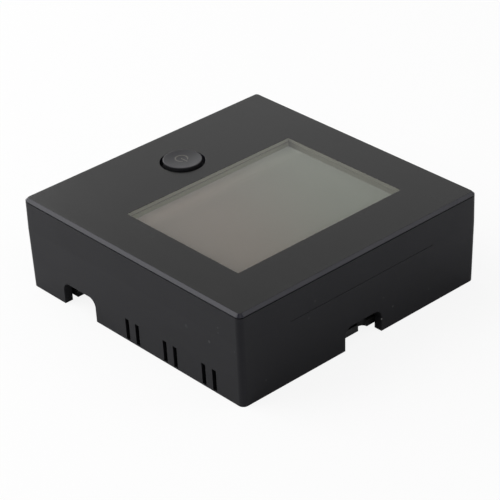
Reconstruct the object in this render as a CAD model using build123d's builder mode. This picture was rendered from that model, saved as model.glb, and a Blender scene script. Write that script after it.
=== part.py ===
from build123d import *

import os

# Wall thermostat, lying on its back. Millimetres.
# The origin is the centre of the back face, which meets the wall. +Z points out of the wall, +Y up the wall
# and +X to the right as seen from the front. A wall plate carries the power board and the terminals. The
# front unit, with the casing, the panel and the display, pushes onto the plate's four spigots.

# Body as seen from the front
body_width = 86.0
body_height = 86.0
corner_radius = 1.6
wall = 2.9
draft_inset = 0.36
straight_band = 8.15
mould_line_width = 0.15
mould_line_depth = 0.12
mould_line_length = 52.0
seam_gap = 0.25
panel_lip = 0.9
rim_chamfer = 0.75
rim_chamfer_height = 0.8
panel_fit = 0.15

# Window and button in the front panel
window_side_margin = 13.6
window_top_margin = 15.1
window_bottom_margin = 27.5
panel_thickness = 2.4
lens_flange = 0.8
lens_flange_width = 1.6
lens_fit = 0.05
button_radius = 5.4
button_gap = 1.0
button_rise = 0.8
button_dish = 0.35
button_edge = 0.15
button_flange_width = 1.5
button_flange = 1.0
button_stem_radius = 1.6
button_stop_gap = 0.05
button_frame_gap = 0.9
guide_gap = 0.15
guide_wall = 1.2
guide_depth = 2.5

# Openings in the casing's walls: vents just above the back edge, cable notches open to it
vent_width = 1.5
vent_top = 6.8
vent_sill = 0.4
vent_pair_offset = 2.0
vent_pair_pitch = 15.0
vent_middle_y = 15.2
vent_pairs = 3
notch_width = 13.4
notch_height = 6.9
notch_corner = 2.5
side_notch_y = -21.8

# Casing pillars, panel bosses and the plate's spigots, all on the same axes
pillar_size = 7.8
pillar_inset = 4.4
pillar_socket_radius = 2.4
pillar_web = 2.0
pillar_lift = 0.3
boss_length = 6.0
post_fit = 0.1
spigot_height = 8.0
spigot_tip = 0.6
spigot_slit = 0.8
spigot_slit_depth = 5.0
panel_screw_core = 1.0
panel_screw_head = 2.15
panel_screw_head_height = 1.7
panel_screw_bite = 4.6

# Screws of both boards
board_screw_core = 0.8
board_screw_head = 1.9
board_screw_head_height = 1.2
board_screw_bite = 2.6
pilot_fit = 0.05
recess_width = 0.6
recess_depth = 0.7
recess_margin = 0.7
standoff_radius = 2.3
standoff_gap = 6.0

# Wall plate
plate_gap = 1.8
plate_thickness = 2.0
plate_corner = 3.0
mount_edge_margin = 4.3
mount_slot_width = 4.2
mount_slot_length = 8.0
mount_access = 13.0
mount_access_margin = 3.5
wire_window_width = 44.0
wire_window_corner = 3.0
wire_window_land = 3.5
plate_top_strip = 6.3
tie_notch_radius = 1.6
tie_notch_x = 4.0
side_cutout_depth = 3.3

# Boards and their stacking heights
board_thickness = 1.6
board_standoff = 1.6
board_gap = 0.5
display_board_margin = 3.0
parts_clearance = 0.4
row_gap = 3.0
part_gap = 2.2
row_edge = 1.6

# Parts on the power board
terminal_ways = 6
terminal_pitch = 5.08
terminal_depth = 8.2
terminal_height = 9.6
terminal_floor = 1.4
terminal_pocket_width = 3.8
terminal_pocket_height = 5.2
terminal_pocket_depth = 6.0
terminal_screw_hole = 1.9
terminal_screw_head = 1.75
terminal_screw_head_height = 1.6
terminal_screw_core = 1.2
terminal_screw_sink = 0.6
terminal_wire_room = 1.9
clamp_wall = 0.7
clamp_fit = 0.1
clamp_length = 5.0
relay_length = 20.0
relay_width = 10.0
relay_height = 9.6
relay_edge = 0.6
core_length = 13.0
core_width = 5.0
core_height = 9.2
core_yoke = 2.0
core_side_leg = 1.8
core_leg_radius = 1.9
bobbin_wall = 0.8
bobbin_flange = 0.6
bobbin_fit = 0.1
input_cap_radius = 4.0
input_cap_length = 12.0
output_cap_radius = 3.15
output_cap_height = 7.0
cap_crimp = 0.3
cap_crimp_place = 1.8
fuse_radius = 4.2
fuse_height = 7.6
fuse_edge = 0.8
varistor_radius = 3.6
varistor_thickness = 4.0
varistor_edge = 1.0
varistor_lift = 1.2
lead_radius = 0.3
lead_pitch = 5.0
rectifier_length = 4.7
rectifier_width = 3.8
rectifier_height = 2.4
rectifier_leg_count = 2
rectifier_leg_pitch = 2.5
chip_length = 5.0
chip_width = 4.0
chip_body = 1.4
chip_leg_count = 4
leg_width = 0.4
leg_reach = 1.0
leg_thickness = 0.2
leg_pitch = 1.27

# Plug connection between the boards
pin_count = 6
pin_pitch = 2.54
pin_size = 0.64
pin_fit = 0.13
pin_strip_fit = 0.01
pin_plunge = 5.8
pin_spare = 0.5
socket_width = 2.5
socket_height = 8.5
header_gap = 0.2

# Display, from the board upwards
reflector_thickness = 0.25
guide_thickness = 2.4
diffuser_thickness = 0.3
lcd_thickness = 2.0
polariser_thickness = 0.2
lens_gap = 1.15
lcd_border = 1.4
frame_border = 2.2
frame_fit = 0.15
polariser_inset = 0.3
guide_inset_x = 1.0
guide_inset_y = 1.5
contact_strip_width = 1.8
contact_strip_gap = 0.3
contact_strip_inset = 4.0
led_count = 3
led_pitch = 12.0
led_length = 2.8
led_depth = 1.2
led_gap = 0.2

# Parts on the display board
switch_width = 6.0
switch_base = 3.1
switch_cover_thickness = 0.3
switch_floor = 1.5
switch_well_radius = 2.4
switch_corner = 0.5
plunger_radius = 1.7
plunger_flange_radius = 2.2
plunger_flange = 0.6
plunger_rise = 0.9
plunger_gap = 0.15
plunger_nib_radius = 0.85
dome_radius = 2.1
dome_rise = 0.45
dome_thickness = 0.12
buzzer_radius = 4.8
buzzer_height = 4.5
buzzer_gap = 4.3
buzzer_hole = 1.0
buzzer_hole_depth = 2.2
buzzer_edge = 0.4
controller_size = 10.0
controller_body = 1.0
controller_leg_count = 8
controller_leg_pitch = 1.0
controller_y = 12.0
crystal_length = 3.2
crystal_width = 2.5
crystal_height = 0.8
crystal_edge = 0.2
crystal_gap = 2.0
thermistor_bead = 1.2
thermistor_lead = 0.25
thermistor_lead_pitch = 1.2
thermistor_drop = 9.5
thermistor_wall_gap = 9.0
thermistor_y = 20.0

# Plan of the body
inner_x = body_width / 2 - wall
inner_y = body_height / 2 - wall
pillar_x = inner_x - pillar_inset
pillar_y = inner_y - pillar_inset
plate_x = inner_x - plate_gap
plate_y = inner_y - plate_gap
boss_radius = pillar_socket_radius - post_fit
mount_x = plate_x - mount_edge_margin - mount_slot_length / 2

# Heights, from the wall outwards
power_board_z = plate_thickness + board_standoff
power_top = power_board_z + board_thickness
varistor_height = varistor_lift + 2 * varistor_radius
tallest_part = max(terminal_height, relay_height, core_height, 2 * input_cap_radius, output_cap_height,
                   fuse_height, varistor_height, socket_height)
underside_part = leg_thickness + controller_body
display_board_z = power_top + tallest_part + parts_clearance + underside_part
display_top = display_board_z + board_thickness
guide_z = display_top + reflector_thickness
diffuser_z = guide_z + guide_thickness
lcd_z = diffuser_z + diffuser_thickness
polariser_z = lcd_z + lcd_thickness
lens_z = polariser_z + polariser_thickness + lens_gap
panel_z = lens_z + lens_flange
face_z = panel_z + panel_thickness
casing_top = face_z - panel_lip - seam_gap
crease_z = casing_top - straight_band
boss_z = panel_z - boss_length
web_top = boss_z - post_fit
web_bottom = web_top - pillar_web

# Window, display frame and button in plan
window_width = body_width - 2 * window_side_margin
window_height = body_height - window_top_margin - window_bottom_margin
window_y = (window_bottom_margin - window_top_margin) / 2
frame_x = window_width / 2 + frame_border
frame_y = window_height / 2 + frame_border
lcd_x = window_width / 2 + lcd_border
lcd_y = window_height / 2 + lcd_border
guide_x = window_width / 2 - guide_inset_x
guide_y = window_height / 2 - guide_inset_y
hole_radius = button_radius + button_gap
flange_radius = button_radius + button_flange_width
guide_radius = flange_radius + guide_gap
button_y = window_y - frame_y - button_frame_gap - guide_radius - guide_wall
flange_top = panel_z - button_stop_gap
plunger_top = display_top + switch_base + switch_cover_thickness + plunger_rise

# Display board and what carries it
display_board_x = frame_x + display_board_margin
display_board_y = inner_y - board_gap
standoff_x = inner_x - pillar_size - standoff_gap - standoff_radius
upper_standoff_y = (window_y + frame_y + display_board_y) / 2
lower_standoff_y = -upper_standoff_y
display_standoffs = [(side * standoff_x, y) for side in (-1, 1)
                     for y in (lower_standoff_y, upper_standoff_y)]

# Rows of parts on the power board, stacked up from its lower edge
power_board_x = inner_x - pillar_size - board_gap
power_board_low = -(inner_y - pillar_size - board_gap)
low_row_depth = max(2 * input_cap_radius, socket_width)
middle_row_depth = max(relay_width, core_width, 2 * fuse_radius, 2 * varistor_radius)
chip_span = chip_width + 2 * leg_reach
small_row_depth = max(chip_span, rectifier_width, 2 * output_cap_radius)
low_row_y = power_board_low + row_edge + low_row_depth / 2
middle_row_y = low_row_y + (low_row_depth + middle_row_depth) / 2 + row_gap
small_row_y = middle_row_y + (middle_row_depth + small_row_depth) / 2 + row_gap
power_board_high = small_row_y + small_row_depth / 2 + row_gap + terminal_depth
terminal_y = power_board_high - terminal_depth / 2
ear_y = (power_board_high + mount_access / 2) / 2
board_screw_x = power_board_x - row_edge - standoff_radius
power_standoffs = [(side * board_screw_x, y) for side in (-1, 1) for y in (low_row_y, ear_y)]

corners = [(x * pillar_x, y * pillar_y) for x in (-1, 1) for y in (-1, 1)]
standing = (Align.CENTER, Align.CENTER, Align.MIN)
hanging = (Align.CENTER, Align.CENTER, Align.MAX)


def row_centres(lengths, gap):
    """Returns the centre of each length, laid end to end with a gap and centred on zero."""
    start = -(sum(lengths) + gap * (len(lengths) - 1)) / 2
    return [start + sum(lengths[:i]) + gap * i + length / 2 for i, length in enumerate(lengths)]


socket_length = pin_count * pin_pitch
relay_cx, core_cx, varistor_cx, fuse_cx = row_centres(
    [relay_length, core_length, varistor_thickness, 2 * fuse_radius], part_gap)
left_cap_cx, right_cap_cx, socket_cx = row_centres(
    [input_cap_length, input_cap_length, socket_length], part_gap)
rectifier_cx, chip_cx, output_cap_cx = row_centres(
    [rectifier_length, chip_length, 2 * output_cap_radius], part_gap)
pin_spots = [(socket_cx + (i - (pin_count - 1) / 2) * pin_pitch, low_row_y) for i in range(pin_count)]
terminal_spots = [(i - (terminal_ways - 1) / 2) * terminal_pitch for i in range(terminal_ways)]


def save(piece, name):
    """Labels a finished piece and writes its file."""
    piece.part.label = name
    export_step(piece.part, f"parts/{name}.step")


def wall_plane(x, y):
    """Returns a plane on an inner wall face at the back edge, its Y upwards and its normal out of the body."""
    return Plane(origin=(x * inner_x, y * inner_y, 0), x_dir=(-y, x, 0), z_dir=(x, y, 0))


def cross_screw(head_radius, head_height, core_radius, core_length):
    """Adds a cross-slotted screw with its head's underside at the origin and its core along +Z."""
    Cylinder(head_radius, head_height, align=hanging)
    Cylinder(core_radius, core_length, align=standing)
    recess_length = 2 * (head_radius - recess_margin)
    with Locations((0, 0, -head_height)):
        Box(recess_length, recess_width, recess_depth, align=standing, mode=Mode.SUBTRACT)
        Box(recess_width, recess_length, recess_depth, align=standing, mode=Mode.SUBTRACT)


def chip_legs(half_span, count, pitch):
    """Adds a row of flat legs along both long sides of a chip, with their feet at the origin's height."""
    for side in (-1, 1):
        with Locations((0, side * half_span, 0)):
            with GridLocations(pitch, 0, count, 1):
                Box(leg_width, 2 * leg_reach, leg_thickness, align=standing)


def capacitor_can(radius, length):
    """Adds a round can along +Z with a crimped groove near its foot."""
    Cylinder(radius, length, align=standing)
    with Locations((0, 0, cap_crimp_place)):
        Torus(radius, cap_crimp, mode=Mode.SUBTRACT)


os.makedirs("parts", exist_ok=True)

# Casing: drafted skirt with a fine mould line, vents, cable notches and four corner pillars
with BuildPart() as casing:
    with BuildSketch(Plane.XY):
        RectangleRounded(body_width - 2 * draft_inset, body_height - 2 * draft_inset, corner_radius)
    with BuildSketch(Plane.XY.offset(crease_z)):
        RectangleRounded(body_width, body_height, corner_radius)
    loft(ruled=True)
    with BuildSketch(Plane.XY.offset(crease_z)):
        RectangleRounded(body_width, body_height, corner_radius)
    extrude(amount=casing_top - crease_z)
    Box(2 * inner_x, 2 * inner_y, casing_top, align=standing, mode=Mode.SUBTRACT)
    with Locations((0, body_height / 2, crease_z)):
        Box(mould_line_length, 2 * mould_line_depth, mould_line_width, mode=Mode.SUBTRACT)
    for side in (-1, 1):
        with BuildSketch(wall_plane(side, 0)):
            with Locations((side * side_notch_y, 0)):
                RectangleRounded(notch_width, 2 * notch_height, notch_corner)
            with Locations((side * vent_middle_y, (vent_sill + vent_top) / 2)):
                with GridLocations(vent_pair_pitch, 0, vent_pairs, 1):
                    with GridLocations(2 * vent_pair_offset, 0, 2, 1):
                        Rectangle(vent_width, vent_top - vent_sill)
        extrude(amount=wall, mode=Mode.SUBTRACT)
        with BuildSketch(wall_plane(0, side)):
            RectangleRounded(notch_width, 2 * notch_height, notch_corner)
        extrude(amount=wall, mode=Mode.SUBTRACT)
    pillar_bottom = plate_thickness + pillar_lift
    for x, y in corners:
        pillar_place = (x + (pillar_inset - pillar_size / 2) * x / pillar_x,
                        y + (pillar_inset - pillar_size / 2) * y / pillar_y, pillar_bottom)
        with Locations(pillar_place):
            Box(pillar_size, pillar_size, panel_z - pillar_bottom, align=standing)
        with Locations((x, y, web_top)):
            Cylinder(pillar_socket_radius, panel_z - web_top, align=standing, mode=Mode.SUBTRACT)
        with Locations((x, y, pillar_bottom)):
            Cylinder(pillar_socket_radius, web_bottom - pillar_bottom, align=standing, mode=Mode.SUBTRACT)
            Cylinder(panel_screw_core + post_fit, panel_z - pillar_bottom, align=standing, mode=Mode.SUBTRACT)
save(casing, "casing")

# Front panel: lipped plate with the window, the button hole and its guide, and bosses behind
with BuildPart() as front_panel:
    with BuildSketch(Plane.XY.offset(face_z - panel_lip)):
        RectangleRounded(body_width, body_height, corner_radius)
    extrude(amount=panel_lip)
    rim = front_panel.faces().sort_by(Axis.Z)[-1].outer_wire().edges()
    chamfer(rim, rim_chamfer_height, rim_chamfer, reference=front_panel.faces().sort_by(Axis.Z)[-1])
    with BuildSketch(Plane.XY.offset(panel_z)):
        Rectangle(2 * (inner_x - panel_fit), 2 * (inner_y - panel_fit))
    extrude(amount=panel_thickness - panel_lip)
    with Locations((0, window_y, panel_z)):
        Box(window_width, window_height, panel_thickness, align=standing, mode=Mode.SUBTRACT)
    with Locations((0, button_y, panel_z)):
        Cylinder(guide_radius + guide_wall, guide_depth, align=hanging)
        Cylinder(guide_radius, guide_depth, align=hanging, mode=Mode.SUBTRACT)
        Cylinder(hole_radius, panel_thickness, align=standing, mode=Mode.SUBTRACT)
    with Locations(*[(x, y, panel_z) for x, y in corners]):
        Cylinder(boss_radius, boss_length, align=hanging)
        Cylinder(panel_screw_core + pilot_fit, boss_length, align=hanging, mode=Mode.SUBTRACT)
    with Locations(*[(x, y, panel_z) for x, y in display_standoffs]):
        Cylinder(standoff_radius, panel_z - display_top, align=hanging)
        Cylinder(board_screw_core + pilot_fit, panel_z - display_top, align=hanging, mode=Mode.SUBTRACT)
save(front_panel, "front_panel")

with BuildPart() as panel_screws:
    with Locations(*[(x, y, web_bottom) for x, y in corners]):
        cross_screw(panel_screw_head, panel_screw_head_height, panel_screw_core,
                    boss_z - web_bottom + panel_screw_bite)
save(panel_screws, "panel_screws")

# Window: clear block flush with the panel, on a flange behind it
with BuildPart() as window_lens:
    with Locations((0, window_y, panel_z)):
        Box(window_width - 2 * lens_fit, window_height - 2 * lens_fit, panel_thickness, align=standing)
        Box(window_width + 2 * lens_flange_width, window_height + 2 * lens_flange_width, lens_flange,
            align=hanging)
save(window_lens, "window_lens")

# Power button: dished cap, retaining flange and stem
with BuildPart() as power_button:
    rim_z = face_z + button_rise
    flange_bottom = flange_top - button_flange
    with BuildSketch(Plane.XZ.offset(-button_y)):
        with BuildLine():
            Polyline((0, plunger_top), (button_stem_radius, plunger_top),
                     (button_stem_radius, flange_bottom), (flange_radius, flange_bottom),
                     (flange_radius, flange_top), (button_radius, flange_top), (button_radius, rim_z))
            TangentArc((0, rim_z - button_dish), (button_radius, rim_z), tangent=(1, 0))
            Line((0, rim_z - button_dish), (0, plunger_top))
        make_face()
    revolve(axis=Axis((0, button_y, 0), (0, 0, 1)))
    cap_face = power_button.faces().sort_by(Axis.Z)[-1]
    fillet(cap_face.edges().filter_by(lambda edge: edge.is_closed), button_edge)
save(power_button, "power_button")

# Push switch under the button
with BuildPart() as switch_body:
    with Locations((0, button_y, display_top)):
        Box(switch_width, switch_width, switch_base, align=standing)
    fillet(switch_body.edges().filter_by(Axis.Z), switch_corner)
    with Locations((0, button_y, display_top + switch_floor)):
        Cylinder(switch_well_radius, switch_base - switch_floor, align=standing, mode=Mode.SUBTRACT)
save(switch_body, "switch_body")

with BuildPart() as switch_cover:
    with Locations((0, button_y, display_top + switch_base)):
        Box(switch_width, switch_width, switch_cover_thickness, align=standing)
        Cylinder(plunger_radius + plunger_gap, switch_cover_thickness, align=standing, mode=Mode.SUBTRACT)
    fillet(switch_cover.edges().filter_by(Axis.Z).sort_by(SortBy.LENGTH)[-4:], switch_corner)
save(switch_cover, "switch_cover")

dome_z = display_top + switch_floor
dome_top = dome_z + dome_rise
with BuildPart() as contact_dome:
    dome_inside = dome_radius - dome_thickness
    with BuildSketch(Plane.XZ.offset(-button_y)):
        with BuildLine():
            TangentArc((0, dome_top), (dome_radius, dome_z), tangent=(1, 0))
            Line((dome_radius, dome_z), (dome_inside, dome_z))
            TangentArc((0, dome_top - dome_thickness), (dome_inside, dome_z), tangent=(1, 0))
            Line((0, dome_top - dome_thickness), (0, dome_top))
        make_face()
    revolve(axis=Axis((0, button_y, 0), (0, 0, 1)))
save(contact_dome, "contact_dome")

with BuildPart() as switch_plunger:
    plunger_shoulder = display_top + switch_base - plunger_gap
    with Locations((0, button_y, plunger_shoulder)):
        Cylinder(plunger_radius, plunger_top - plunger_shoulder, align=standing)
        Cylinder(plunger_flange_radius, plunger_flange, align=hanging)
    with Locations((0, button_y, dome_top)):
        Cylinder(plunger_nib_radius, plunger_shoulder - dome_top, align=standing)
save(switch_plunger, "switch_plunger")

# Display stack, from the frame and the polariser down to the reflector
with BuildPart() as display_frame:
    with Locations((0, window_y, display_top)):
        Box(2 * frame_x, 2 * frame_y, lens_z - display_top, align=standing)
        Box(2 * (lcd_x + frame_fit), 2 * (lcd_y + frame_fit), polariser_z - display_top, align=standing,
            mode=Mode.SUBTRACT)
        Box(window_width, window_height, lens_z - display_top, align=standing, mode=Mode.SUBTRACT)
save(display_frame, "display_frame")

with BuildPart() as front_polariser:
    with Locations((0, window_y, polariser_z)):
        Box(window_width - 2 * polariser_inset, window_height - 2 * polariser_inset, polariser_thickness,
            align=standing)
save(front_polariser, "front_polariser")

with BuildPart() as lcd_cell:
    with Locations((0, window_y, lcd_z)):
        Box(2 * lcd_x, 2 * lcd_y, lcd_thickness, align=standing)
save(lcd_cell, "lcd_cell")

with BuildPart() as diffuser_sheet:
    with Locations((0, window_y, diffuser_z)):
        Box(2 * guide_x, 2 * guide_y, diffuser_thickness, align=standing)
save(diffuser_sheet, "diffuser_sheet")

with BuildPart() as light_guide:
    with Locations((0, window_y, guide_z)):
        Box(2 * guide_x, 2 * guide_y, guide_thickness, align=standing)
save(light_guide, "light_guide")

with BuildPart() as reflector_sheet:
    with Locations((0, window_y, display_top)):
        Box(2 * guide_x, 2 * guide_y, reflector_thickness, align=standing)
save(reflector_sheet, "reflector_sheet")

with BuildPart() as backlight_leds:
    with Locations((-guide_x - led_gap - led_depth / 2, window_y, display_top)):
        with GridLocations(0, led_pitch, 1, led_count):
            Box(led_depth, led_length, reflector_thickness + guide_thickness, align=standing)
save(backlight_leds, "backlight_leds")

with BuildPart() as contact_strips:
    strip_y = guide_y + contact_strip_gap + contact_strip_width / 2
    with Locations((0, window_y - strip_y, display_top), (0, window_y + strip_y, display_top)):
        Box(2 * (lcd_x - contact_strip_inset), contact_strip_width, lcd_z - display_top, align=standing)
save(contact_strips, "contact_strips")

# Display board: plate cut clear of the pillars
with BuildPart() as display_board:
    with Locations((0, 0, display_board_z)):
        Box(2 * display_board_x, 2 * display_board_y, board_thickness, align=standing)
    cut_x = inner_x - pillar_size - board_gap
    cut_y = inner_y - pillar_size - board_gap
    for x in (-1, 1):
        for y in (-1, 1):
            with Locations((x * (cut_x + pillar_size), y * (cut_y + pillar_size), display_board_z)):
                Box(2 * pillar_size, 2 * pillar_size, board_thickness, align=standing, mode=Mode.SUBTRACT)
    with Locations(*[(x, y, display_top) for x, y in display_standoffs]):
        Hole(board_screw_core + post_fit, board_thickness)
save(display_board, "display_board")

with BuildPart() as display_board_screws:
    with Locations(*[(x, y, display_board_z) for x, y in display_standoffs]):
        cross_screw(board_screw_head, board_screw_head_height, board_screw_core,
                    board_thickness + board_screw_bite)
save(display_board_screws, "display_board_screws")

with BuildPart() as microcontroller:
    with Locations(Location((0, controller_y, display_board_z), (180, 0, 0))):
        with Locations((0, 0, leg_thickness)):
            Box(controller_size, controller_size, controller_body, align=standing)
        chip_legs(controller_size / 2, controller_leg_count, controller_leg_pitch)
        with Locations(Location((0, 0, 0), (0, 0, 90))):
            chip_legs(controller_size / 2, controller_leg_count, controller_leg_pitch)
save(microcontroller, "microcontroller")

with BuildPart() as crystal:
    crystal_x = controller_size / 2 + leg_reach + crystal_gap + crystal_length / 2
    with Locations((crystal_x, controller_y, display_board_z)):
        Box(crystal_length, crystal_width, crystal_height, align=hanging)
    chamfer(crystal.faces().sort_by(Axis.Z)[0].edges(), crystal_edge)
save(crystal, "crystal")

with BuildPart() as buzzer:
    buzzer_x = -(guide_radius + guide_wall + buzzer_gap + buzzer_radius)
    with Locations((buzzer_x, button_y, display_top)):
        Cylinder(buzzer_radius, buzzer_height, align=standing)
    fillet(buzzer.faces().sort_by(Axis.Z)[-1].edges(), buzzer_edge)
    with Locations((buzzer_x, button_y, display_top + buzzer_height)):
        Hole(buzzer_hole, buzzer_hole_depth)
save(buzzer, "buzzer")

# Thermistor: bead on two leads, hung from the display board beside the vents
with BuildPart() as thermistor:
    thermistor_x = inner_x - thermistor_wall_gap
    with Locations((thermistor_x, thermistor_y, display_board_z)):
        with GridLocations(thermistor_lead_pitch, 0, 2, 1):
            Cylinder(thermistor_lead, thermistor_drop, align=hanging)
    with Locations((thermistor_x, thermistor_y, display_board_z - thermistor_drop)):
        Sphere(thermistor_bead)
save(thermistor, "thermistor")

# Plug connection: pins on the display board, socket on the power board
socket_top = power_top + socket_height
strip_bottom = socket_top + header_gap
with BuildPart() as pin_header:
    with Locations((socket_cx, low_row_y, strip_bottom)):
        Box(socket_length, socket_width, display_board_z - strip_bottom, align=standing)
    with Locations(*[(x, y, strip_bottom) for x, y in pin_spots]):
        hole_size = pin_size + 2 * pin_strip_fit
        Box(hole_size, hole_size, display_board_z - strip_bottom, align=standing, mode=Mode.SUBTRACT)
save(pin_header, "pin_header")

with BuildPart() as header_pins:
    with Locations(*[(x, y, display_board_z) for x, y in pin_spots]):
        Box(pin_size, pin_size, display_board_z - strip_bottom + pin_plunge, align=hanging)
save(header_pins, "header_pins")

with BuildPart() as header_socket:
    with Locations((socket_cx, low_row_y, power_top)):
        Box(socket_length, socket_width, socket_height, align=standing)
    with Locations(*[(x, y, socket_top) for x, y in pin_spots]):
        hole_size = pin_size + 2 * pin_fit
        Box(hole_size, hole_size, pin_plunge + pin_spare, align=hanging, mode=Mode.SUBTRACT)
save(header_socket, "header_socket")

# Wall plate: screw slots, wire window, cable relief, board standoffs and spigots
with BuildPart() as wall_plate:
    with BuildSketch(Plane.XY):
        RectangleRounded(2 * plate_x, 2 * plate_y, plate_corner)
        with GridLocations(2 * mount_x, 0, 2, 1):
            SlotOverall(mount_slot_length, mount_slot_width, mode=Mode.SUBTRACT)
        window_low = power_board_high + wire_window_land
        window_high = plate_y - plate_top_strip
        with Locations((0, (window_low + window_high) / 2)):
            RectangleRounded(wire_window_width, window_high - window_low, wire_window_corner,
                             mode=Mode.SUBTRACT)
        with GridLocations(2 * tie_notch_x, 2 * plate_y, 2, 2):
            Circle(tie_notch_radius, mode=Mode.SUBTRACT)
        with Locations((-plate_x, side_notch_y), (plate_x, side_notch_y)):
            Rectangle(2 * side_cutout_depth, notch_width, mode=Mode.SUBTRACT)
    extrude(amount=plate_thickness)
    with Locations(*[(x, y, plate_thickness) for x, y in power_standoffs]):
        Cylinder(standoff_radius, board_standoff, align=standing)
    with Locations(*[(x, y, power_board_z) for x, y in power_standoffs]):
        Hole(board_screw_core + pilot_fit, board_screw_bite + pilot_fit)
    with Locations(*[(x, y, plate_thickness) for x, y in corners]):
        Cylinder(boss_radius, spigot_height, align=standing)
    tips = wall_plate.faces().sort_by(Axis.Z)[-len(corners):]
    chamfer(tips.edges(), spigot_tip)
    with Locations(*[(x, y, plate_thickness + spigot_height) for x, y in corners]):
        Box(2 * boss_radius, spigot_slit, spigot_slit_depth, align=hanging, mode=Mode.SUBTRACT)
save(wall_plate, "wall_plate")

# Power board: cut away beside the wall screws
with BuildPart() as power_board:
    with BuildSketch(Plane.XY.offset(power_board_z)):
        with Locations((0, (power_board_low + power_board_high) / 2)):
            Rectangle(2 * power_board_x, power_board_high - power_board_low)
        access_depth = power_board_x - mount_x + mount_slot_length / 2 + mount_access_margin
        with Locations((-power_board_x, 0), (power_board_x, 0)):
            Rectangle(2 * access_depth, mount_access, mode=Mode.SUBTRACT)
    extrude(amount=board_thickness)
    with Locations(*[(x, y, power_top) for x, y in power_standoffs]):
        Hole(board_screw_core + post_fit, board_thickness)
save(power_board, "power_board")

with BuildPart() as power_board_screws:
    with Locations(*[Location((x, y, power_top), (180, 0, 0)) for x, y in power_standoffs]):
        cross_screw(board_screw_head, board_screw_head_height, board_screw_core,
                    board_thickness + board_screw_bite)
save(power_board_screws, "power_board_screws")

# Terminal block: housing, cage clamps and clamp screws
pocket_z = power_top + terminal_floor
terminal_top = power_top + terminal_height
entry_y = terminal_y + terminal_depth / 2
pocket_centre_y = entry_y - terminal_pocket_depth / 2
with BuildPart() as terminal_block:
    with Locations((0, terminal_y, power_top)):
        Box(terminal_ways * terminal_pitch, terminal_depth, terminal_height, align=standing)
    with Locations(*[(x, pocket_centre_y, pocket_z) for x in terminal_spots]):
        Box(terminal_pocket_width, terminal_pocket_depth, terminal_pocket_height, align=standing,
            mode=Mode.SUBTRACT)
        Cylinder(terminal_screw_hole, terminal_height - terminal_floor, align=standing, mode=Mode.SUBTRACT)
save(terminal_block, "terminal_block")

with BuildPart() as terminal_clamps:
    clamp_width = terminal_pocket_width - 2 * clamp_fit
    clamp_height = terminal_pocket_height - clamp_fit
    with Locations(*[(x, pocket_centre_y, pocket_z) for x in terminal_spots]):
        Box(clamp_width, clamp_length, clamp_height, align=standing)
        Cylinder(terminal_screw_core + pilot_fit, clamp_height, align=standing, mode=Mode.SUBTRACT)
    with Locations(*[(x, pocket_centre_y, pocket_z + clamp_wall) for x in terminal_spots]):
        Box(clamp_width - 2 * clamp_wall, clamp_length, clamp_height - 2 * clamp_wall, align=standing,
            mode=Mode.SUBTRACT)
save(terminal_clamps, "terminal_clamps")

with BuildPart() as terminal_screws:
    head_z = terminal_top - terminal_screw_sink - terminal_screw_head_height
    screw_length = head_z - (pocket_z + clamp_wall + terminal_wire_room)
    with Locations(*[Location((x, pocket_centre_y, head_z), (180, 0, 0)) for x in terminal_spots]):
        cross_screw(terminal_screw_head, terminal_screw_head_height, terminal_screw_core, screw_length)
save(terminal_screws, "terminal_screws")

with BuildPart() as relay:
    with Locations((relay_cx, middle_row_y, power_top)):
        Box(relay_length, relay_width, relay_height, align=standing)
    fillet(relay.edges().filter_by(Axis.Z) + relay.faces().sort_by(Axis.Z)[-1].edges(), relay_edge)
save(relay, "relay")

# Transformer: closed ferrite core round a wound bobbin
former_height = core_height - 2 * core_yoke
former_z = power_top + core_yoke
tube_radius = core_leg_radius + bobbin_fit + bobbin_wall
flange_reach = core_length / 2 - core_side_leg - bobbin_fit
with BuildPart() as transformer_core:
    with Locations((core_cx, middle_row_y, power_top)):
        Box(core_length, core_width, core_height, align=standing)
    with Locations((core_cx, middle_row_y, former_z)):
        Box(core_length - 2 * core_side_leg, core_width, former_height, align=standing, mode=Mode.SUBTRACT)
        Cylinder(core_leg_radius, former_height, align=standing)
save(transformer_core, "transformer_core")

with BuildPart() as transformer_bobbin:
    with Locations((core_cx, middle_row_y, former_z)):
        Cylinder(flange_reach, former_height, align=standing)
    with Locations((core_cx, middle_row_y, former_z + bobbin_flange)):
        Cylinder(flange_reach, former_height - 2 * bobbin_flange, align=standing, mode=Mode.SUBTRACT)
        Cylinder(tube_radius, former_height - 2 * bobbin_flange, align=standing)
    with Locations((core_cx, middle_row_y, former_z)):
        Cylinder(core_leg_radius + bobbin_fit, former_height, align=standing, mode=Mode.SUBTRACT)
save(transformer_bobbin, "transformer_bobbin")

with BuildPart() as transformer_winding:
    with Locations((core_cx, middle_row_y, former_z + bobbin_flange)):
        Cylinder(flange_reach - bobbin_fit, former_height - 2 * bobbin_flange, align=standing)
        Cylinder(tube_radius, former_height - 2 * bobbin_flange, align=standing, mode=Mode.SUBTRACT)
save(transformer_winding, "transformer_winding")

# Capacitors, fuse, varistor, rectifier and supply chip
with BuildPart() as input_capacitors:
    can_z = power_top + input_cap_radius
    can_feet = [(can_x - input_cap_length / 2, low_row_y, can_z) for can_x in (left_cap_cx, right_cap_cx)]
    with Locations(*[Location(foot, (0, 90, 0)) for foot in can_feet]):
        capacitor_can(input_cap_radius, input_cap_length)
save(input_capacitors, "input_capacitors")

with BuildPart() as output_capacitor:
    with Locations((output_cap_cx, small_row_y, power_top)):
        capacitor_can(output_cap_radius, output_cap_height)
save(output_capacitor, "output_capacitor")

with BuildPart() as fuse:
    with Locations((fuse_cx, middle_row_y, power_top)):
        Cylinder(fuse_radius, fuse_height, align=standing)
    fillet(fuse.faces().sort_by(Axis.Z)[-1].edges(), fuse_edge)
save(fuse, "fuse")

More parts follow.
